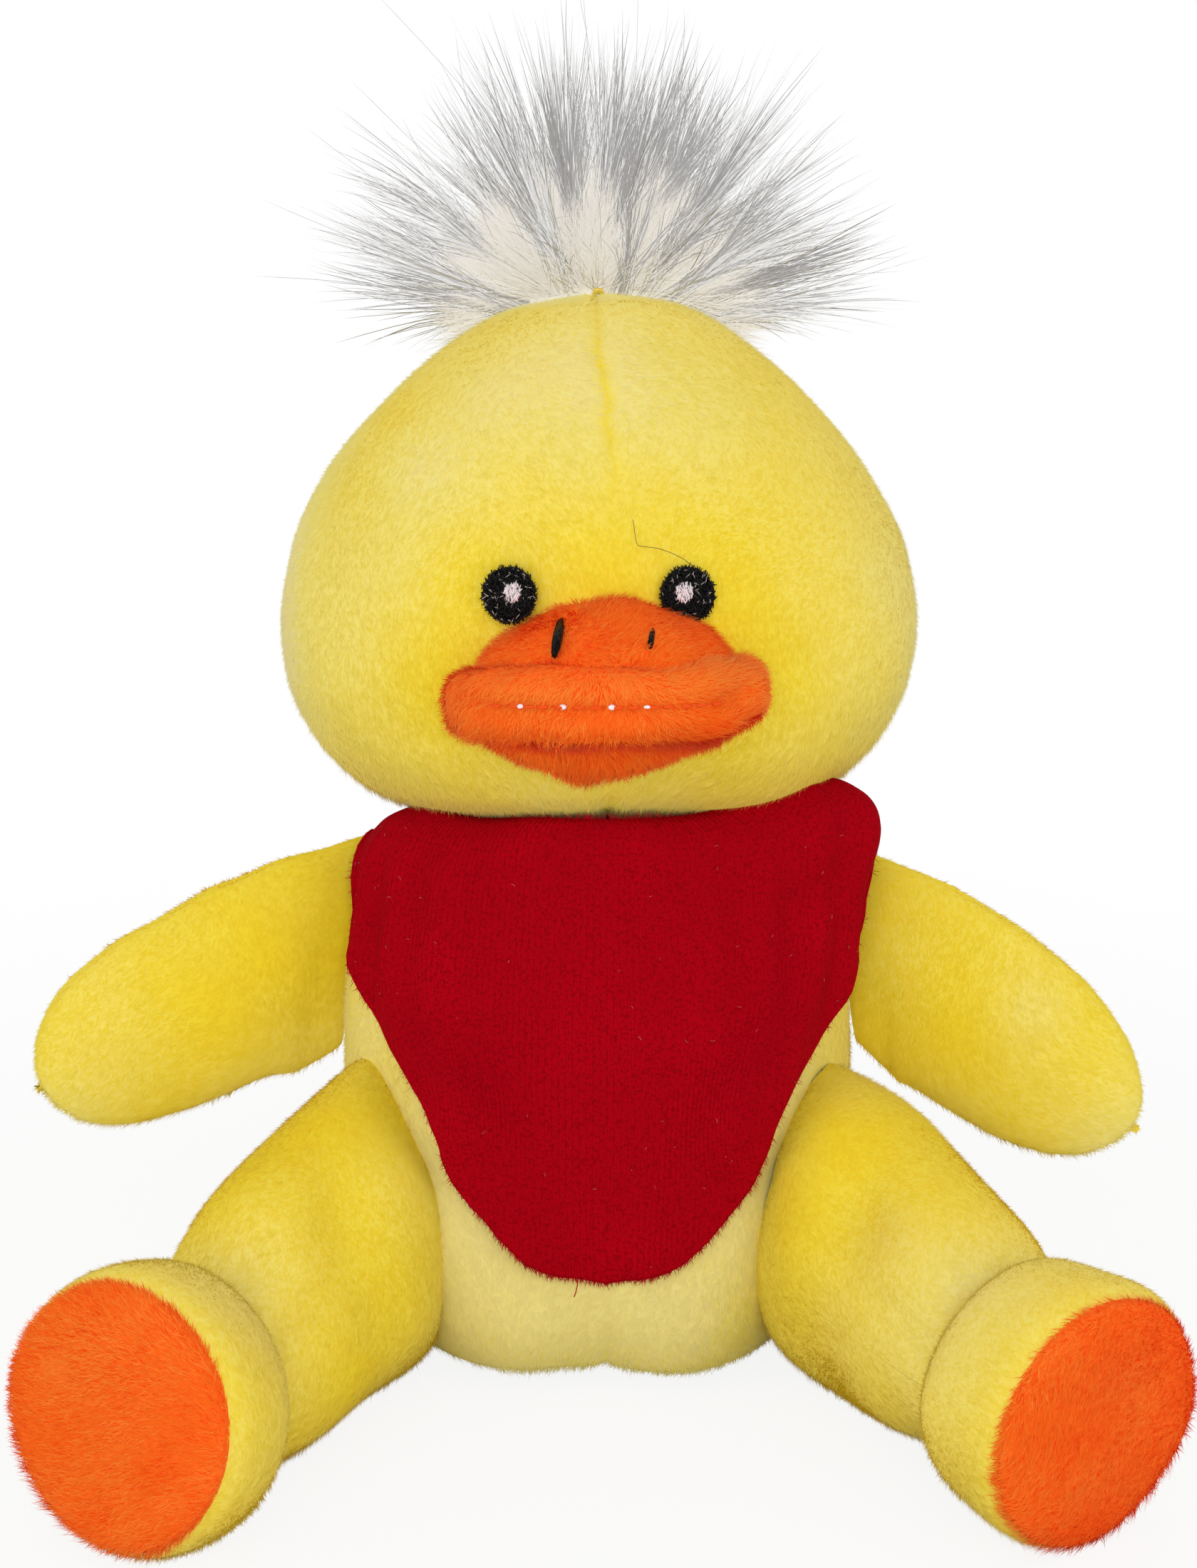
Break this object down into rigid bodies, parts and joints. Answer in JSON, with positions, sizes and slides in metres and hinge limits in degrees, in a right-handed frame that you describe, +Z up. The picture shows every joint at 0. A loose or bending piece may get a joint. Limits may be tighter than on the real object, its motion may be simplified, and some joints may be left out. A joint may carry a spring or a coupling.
{
  "type": "plush duck",
  "caption": "Sitting plush duck, yellow with orange beak and soles, a white hair tuft and a red neck bandana; head, arms and legs move on their seams.",
  "frame": {"origin": "centre of the flat that the seat rests on, at floor level", "axes": "+Z up, the duck faces -Y, its left side is +X"},
  "size_m": [0.1898, 0.1828, 0.222],
  "materials": {
    "yellow_plush": "short velvety pile",
    "orange_plush": "shaggy pile",
    "red_velour": "fine ribbed velour",
    "black_thread": "satin stitch",
    "white_thread": "satin stitch",
    "hair_pile": "long loose pile",
    "fibre_fill": "polyester fibre",
    "pellet_fill": "loose pellets in a pouch"
  },
  "bodies": {
    "torso": {"torso_front_panel": "yellow_plush", "torso_back_panel_left": "yellow_plush", "torso_back_panel_right": "yellow_plush", "tail": "yellow_plush", "torso_stuffing": "fibre_fill", "seat_pellet_pouch": "pellet_fill", "bandana": "red_velour", "bandana_knot": "red_velour"},
    "head": {"head_front_panel_left": "yellow_plush", "head_front_panel_right": "yellow_plush", "head_back_panel": "yellow_plush", "head_stuffing": "fibre_fill", "hair_tuft": "hair_pile", "upper_beak": "orange_plush", "beak_lip": "orange_plush", "lower_beak": "orange_plush", "nostril_left": "black_thread", "nostril_right": "black_thread", "eye_left": "black_thread", "eye_right": "black_thread", "eye_highlight_left": "white_thread", "eye_highlight_right": "white_thread"},
    "arm_left": {"arm_left_front_panel": "yellow_plush", "arm_left_back_panel": "yellow_plush", "arm_left_stuffing": "fibre_fill"},
    "leg_left": {"leg_left_tube": "yellow_plush", "leg_left_stuffing": "fibre_fill", "foot_left_band": "yellow_plush", "foot_left_sole": "orange_plush", "foot_left_filling": "pellet_fill"},
    "arm_right": {"arm_right_front_panel": "yellow_plush", "arm_right_back_panel": "yellow_plush", "arm_right_stuffing": "fibre_fill"},
    "leg_right": {"leg_right_tube": "yellow_plush", "leg_right_stuffing": "fibre_fill", "foot_right_band": "yellow_plush", "foot_right_sole": "orange_plush", "foot_right_filling": "pellet_fill"}
  },
  "joints": [
    {"name": "head_turn", "type": "hinge", "parent": "torso", "child": "head", "pos_m": [0, 0.01347, 0.0893], "axis": [0, 0.1908, 0.9816], "range_deg": [-30, 30], "stiffness_Nm_per_rad": 0.12},
    {"name": "arm_left_swing", "type": "hinge", "parent": "torso", "child": "arm_left", "pos_m": [0.04421, 0.00973, 0.0701], "axis": [-0.1281, 0.1908, 0.9732], "range_deg": [-12, 35], "stiffness_Nm_per_rad": 0.03},
    {"name": "arm_right_swing", "type": "hinge", "parent": "torso", "child": "arm_right", "pos_m": [-0.04421, 0.00973, 0.0701], "axis": [-0.1281, -0.1908, -0.9732], "range_deg": [-12, 35], "stiffness_Nm_per_rad": 0.03},
    {"name": "leg_left_lift", "type": "hinge", "parent": "torso", "child": "leg_left", "pos_m": [0.03792, -0.00831, 0.0262], "axis": [-0.8951, 0.4174, 0.1564], "range_deg": [0, 25], "stiffness_Nm_per_rad": 0.06},
    {"name": "leg_right_lift", "type": "hinge", "parent": "torso", "child": "leg_right", "pos_m": [-0.03792, -0.00831, 0.0262], "axis": [-0.8951, -0.4174, -0.1564], "range_deg": [0, 25], "stiffness_Nm_per_rad": 0.06}
  ]
}
